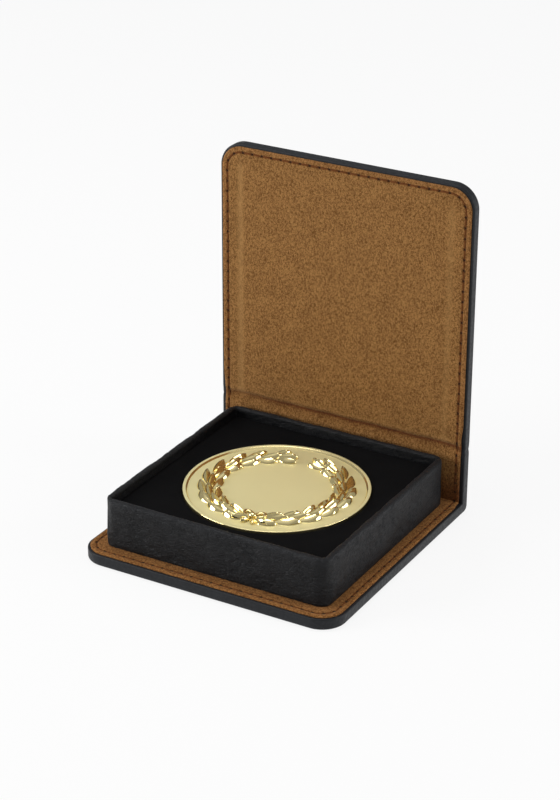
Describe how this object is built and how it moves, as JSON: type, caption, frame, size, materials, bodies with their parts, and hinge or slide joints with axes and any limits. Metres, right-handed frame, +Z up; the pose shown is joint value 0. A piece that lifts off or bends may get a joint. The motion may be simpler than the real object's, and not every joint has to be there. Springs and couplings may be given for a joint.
{
  "type": "medal case",
  "caption": "Book-style presentation case, open at a right angle: leatherette cover with a stitched suede lining, a padded tray with a velvet insert, and a round wreath medal that lifts out.",
  "frame": {"origin": "middle of the underside of the case, level with the table it stands on", "axes": "+X along the folds to the right, +Y back towards the spine, +Z up through the open lid"},
  "size_m": [0.106, 0.107, 0.131],
  "materials": {
    "leatherette": "black fine-grained leatherette with a soft sheen",
    "tray_leatherette": "black creased leatherette, matt",
    "suede_lining": "tan suede-like microfibre with a mottled nap",
    "thread": "dark brown polyester thread",
    "velvet": "black velvet",
    "foam": "dark soft foam",
    "grey_board": "solid grey board",
    "gold_plate": "polished gold plating"
  },
  "bodies": {
    "base": {"base_board": "grey_board", "base_cover": "leatherette", "base_infill_card": "grey_board", "base_lining": "suede_lining", "base_stitching": "thread", "lower_fold_leather": "leatherette", "lower_fold_lining": "suede_lining", "tray_floor": "grey_board", "tray_wall_front": "grey_board", "tray_wall_back": "grey_board", "tray_wall_left": "grey_board", "tray_wall_right": "grey_board", "tray_wrap": "tray_leatherette", "insert_foam": "foam", "insert_velvet": "velvet"},
    "spine": {"spine_board": "grey_board", "spine_cover": "leatherette", "spine_infill_card": "grey_board", "spine_lining": "suede_lining", "spine_stitching": "thread", "upper_fold_leather": "leatherette", "upper_fold_lining": "suede_lining"},
    "lid": {"lid_board": "grey_board", "lid_cover": "leatherette", "lid_padding": "foam", "lid_lining": "suede_lining", "lid_stitching": "thread"},
    "medal": {"medal": "gold_plate"}
  },
  "joints": [
    {"name": "spine_fold", "type": "hinge", "parent": "base", "child": "spine", "pos_m": [0, 0.051, 0.0025], "axis": [-1, 0, 0], "range_deg": [0, 90], "deforming": ["lower_fold_leather", "lower_fold_lining"]},
    {"name": "lid_fold", "type": "hinge", "parent": "spine", "child": "lid", "pos_m": [0, 0.051, 0.0268], "axis": [1, 0, 0], "range_deg": [-10, 90], "deforming": ["upper_fold_leather", "upper_fold_lining"]},
    {"name": "medal_lift", "type": "slide", "parent": "base", "child": "medal", "axis": [0, 0, 1], "range_m": [0, 0.05]}
  ]
}
